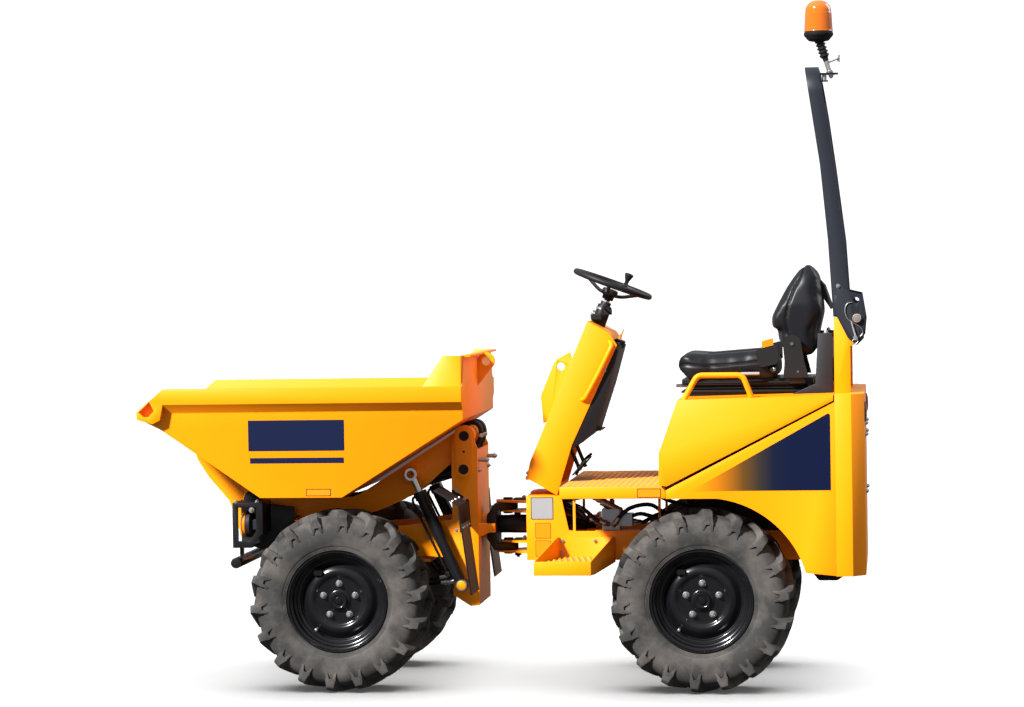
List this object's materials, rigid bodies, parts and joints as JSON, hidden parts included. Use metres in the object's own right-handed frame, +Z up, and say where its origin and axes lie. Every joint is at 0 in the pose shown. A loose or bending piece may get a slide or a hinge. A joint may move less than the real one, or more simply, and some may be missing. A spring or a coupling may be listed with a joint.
{
  "type": "site dumper",
  "caption": "Compact articulated site dumper: front high-tip skip on a lift arm, centre-pivot steering, driver's seat under a folding roll-over frame, lugged tyres.",
  "frame": {"origin": "on the ground, under the middle of the machine's box", "axes": "+X forward to the skip, +Y to the machine's left, +Z up"},
  "size_m": [2.994, 0.98, 2.794],
  "materials": {
    "yellow_paint": "gloss",
    "black_paint": "satin",
    "rim_black": "gloss",
    "slate_paint": "satin",
    "tower_grey": "satin",
    "cast_black": "satin",
    "engine_grey": "matt",
    "axle_yellow": "satin",
    "chrome_rod": "polished",
    "steel_bare": "brushed",
    "tyre_rubber": "matt",
    "seat_vinyl": "satin",
    "black_plastic": "matt",
    "beacon_amber": "gloss",
    "lamp_lens": "gloss"
  },
  "bodies": {
    "chassis": {"rear_chassis": "yellow_paint", "rear_axle": "axle_yellow", "steer_ram_barrel": "black_paint", "valve_block": "steel_bare", "deck_plate": "yellow_paint", "side_steps": "yellow_paint", "console": "yellow_paint", "dash": "black_plastic", "steering_column": "black_plastic", "body_sides": "yellow_paint", "counterweight": "yellow_paint", "engine_block": "engine_grey", "rops_posts": "yellow_paint"},
    "yoke": {"yoke": "cast_black"},
    "front": {"front_frame": "yellow_paint", "front_axle": "axle_yellow", "bumper_frame": "black_paint", "front_lamps": "lamp_lens", "mudguards": "black_plastic"},
    "lift_arm": {"lift_arm": "yellow_paint"},
    "nose_shaft": {"nose_shaft": "cast_black"},
    "skip": {"skip": "yellow_paint"},
    "tip_barrel": {"tip_barrel": "black_paint"},
    "tip_rod": {"tip_rod": "chrome_rod"},
    "lift_barrel_left": {"lift_barrel_left": "black_paint"},
    "lift_rod_left": {"lift_rod_left": "chrome_rod"},
    "lift_barrel_right": {"lift_barrel_right": "black_paint"},
    "lift_rod_right": {"lift_rod_right": "chrome_rod"},
    "steer_rod": {"steer_ram_rod": "chrome_rod"},
    "steering_wheel": {"steering_wheel": "black_plastic"},
    "rops": {"rops_hoop": "slate_paint", "beacon": "beacon_amber"},
    "engine_cover": {"engine_cover": "yellow_paint", "belt_tower": "tower_grey", "seat_base": "black_paint", "seat_cushion": "seat_vinyl", "seat_back": "seat_vinyl"},
    "wheel_front_left": {"rim_front_left": "rim_black", "tyre_front_left": "tyre_rubber"},
    "wheel_front_right": {"rim_front_right": "rim_black", "tyre_front_right": "tyre_rubber"},
    "wheel_rear_left": {"rim_rear_left": "rim_black", "tyre_rear_left": "tyre_rubber"},
    "wheel_rear_right": {"rim_rear_right": "rim_black", "tyre_rear_right": "tyre_rubber"}
  },
  "joints": [
    {"name": "wheel_front_left", "type": "hinge", "parent": "front", "child": "wheel_front_left", "pos_m": [0.668, 0.36, 0.374], "axis": [0, 1, 0], "continuous": true},
    {"name": "wheel_front_right", "type": "hinge", "parent": "front", "child": "wheel_front_right", "pos_m": [0.668, -0.36, 0.374], "axis": [0, 1, 0], "continuous": true},
    {"name": "wheel_rear_left", "type": "hinge", "parent": "chassis", "child": "wheel_rear_left", "pos_m": [-0.829, 0.36, 0.374], "axis": [0, 1, 0], "continuous": true},
    {"name": "wheel_rear_right", "type": "hinge", "parent": "chassis", "child": "wheel_rear_right", "pos_m": [-0.829, -0.36, 0.374], "axis": [0, 1, 0], "continuous": true},
    {"name": "steer", "type": "hinge", "parent": "chassis", "child": "yoke", "pos_m": [0.018, 0, 0.643], "axis": [0, 0, 1], "range_deg": [-30, 30]},
    {"name": "oscillate", "type": "hinge", "parent": "yoke", "child": "front", "pos_m": [0.104, 0, 0.643], "axis": [1, 0, 0], "range_deg": [-8, 8]},
    {"name": "lift", "type": "hinge", "parent": "front", "child": "lift_arm", "pos_m": [0.176, 0, 1.034], "axis": [0, -1, 0], "range_deg": [0, 60]},
    {"name": "skip_level", "type": "hinge", "parent": "lift_arm", "child": "nose_shaft", "pos_m": [1.09, 0, 0.775], "axis": [0, -1, 0], "range_deg": [-60, 0]},
    {"name": "tip", "type": "hinge", "parent": "nose_shaft", "child": "skip", "pos_m": [1.09, 0, 0.775], "axis": [0, 1, 0], "range_deg": [0, 80]},
    {"name": "tip_ram_pivot", "type": "hinge", "parent": "front", "child": "tip_barrel", "pos_m": [0.18, 0, 0.894], "axis": [0, -1, 0], "range_deg": [0, 57.6]},
    {"name": "tip_ram_stroke", "type": "slide", "parent": "tip_barrel", "child": "tip_rod", "axis": [0.9629, 0, -0.2698], "range_m": [-0.202, 0]},
    {"name": "lift_ram_pivot_left", "type": "hinge", "parent": "front", "child": "lift_barrel_left", "pos_m": [0.189, 0.2, 0.414], "axis": [0, -1, 0], "range_deg": [0, 6.5]},
    {"name": "lift_ram_stroke_left", "type": "slide", "parent": "lift_barrel_left", "child": "lift_rod_left", "axis": [0.4074, 0, 0.9132], "range_m": [0, 0.2606]},
    {"name": "lift_ram_pivot_right", "type": "hinge", "parent": "front", "child": "lift_barrel_right", "pos_m": [0.189, -0.2, 0.414], "axis": [0, -1, 0], "range_deg": [0, 6.5]},
    {"name": "lift_ram_stroke_right", "type": "slide", "parent": "lift_barrel_right", "child": "lift_rod_right", "axis": [0.4074, 0, 0.9132], "range_m": [0, 0.2606]},
    {"name": "steer_ram_stroke", "type": "slide", "parent": "chassis", "child": "steer_rod", "axis": [1, 0, 0], "range_m": [-0.0703, 0.0703]},
    {"name": "steering_wheel", "type": "hinge", "parent": "chassis", "child": "steering_wheel", "pos_m": [-0.442, 0, 1.658], "axis": [-0.3518, 0, 0.9361], "continuous": true},
    {"name": "rops_fold", "type": "hinge", "parent": "chassis", "child": "rops", "pos_m": [-1.463, 0, 1.507], "axis": [0, -1, 0], "range_deg": [0, 176]},
    {"name": "cover_open", "type": "hinge", "parent": "chassis", "child": "engine_cover", "pos_m": [-1.358, 0, 1.222], "axis": [0, -1, 0], "range_deg": [0, 45]}
  ],
  "couplings": [
    {"joint": "skip_level", "follows": "lift", "ratio": -1},
    {"joint": "tip_ram_pivot", "follows": "lift", "ratio": 0.959},
    {"joint": "lift_ram_pivot_left", "follows": "lift", "ratio": 0.1077},
    {"joint": "lift_ram_pivot_right", "follows": "lift", "ratio": 0.1077},
    {"joint": "lift_ram_stroke_left", "follows": "lift", "m_per_rad": 0.2486},
    {"joint": "lift_ram_stroke_right", "follows": "lift", "m_per_rad": 0.2486},
    {"joint": "tip_ram_stroke", "follows": "tip", "m_per_rad": -0.1446},
    {"joint": "steer_ram_stroke", "follows": "steer", "m_per_rad": 0.134}
  ]
}
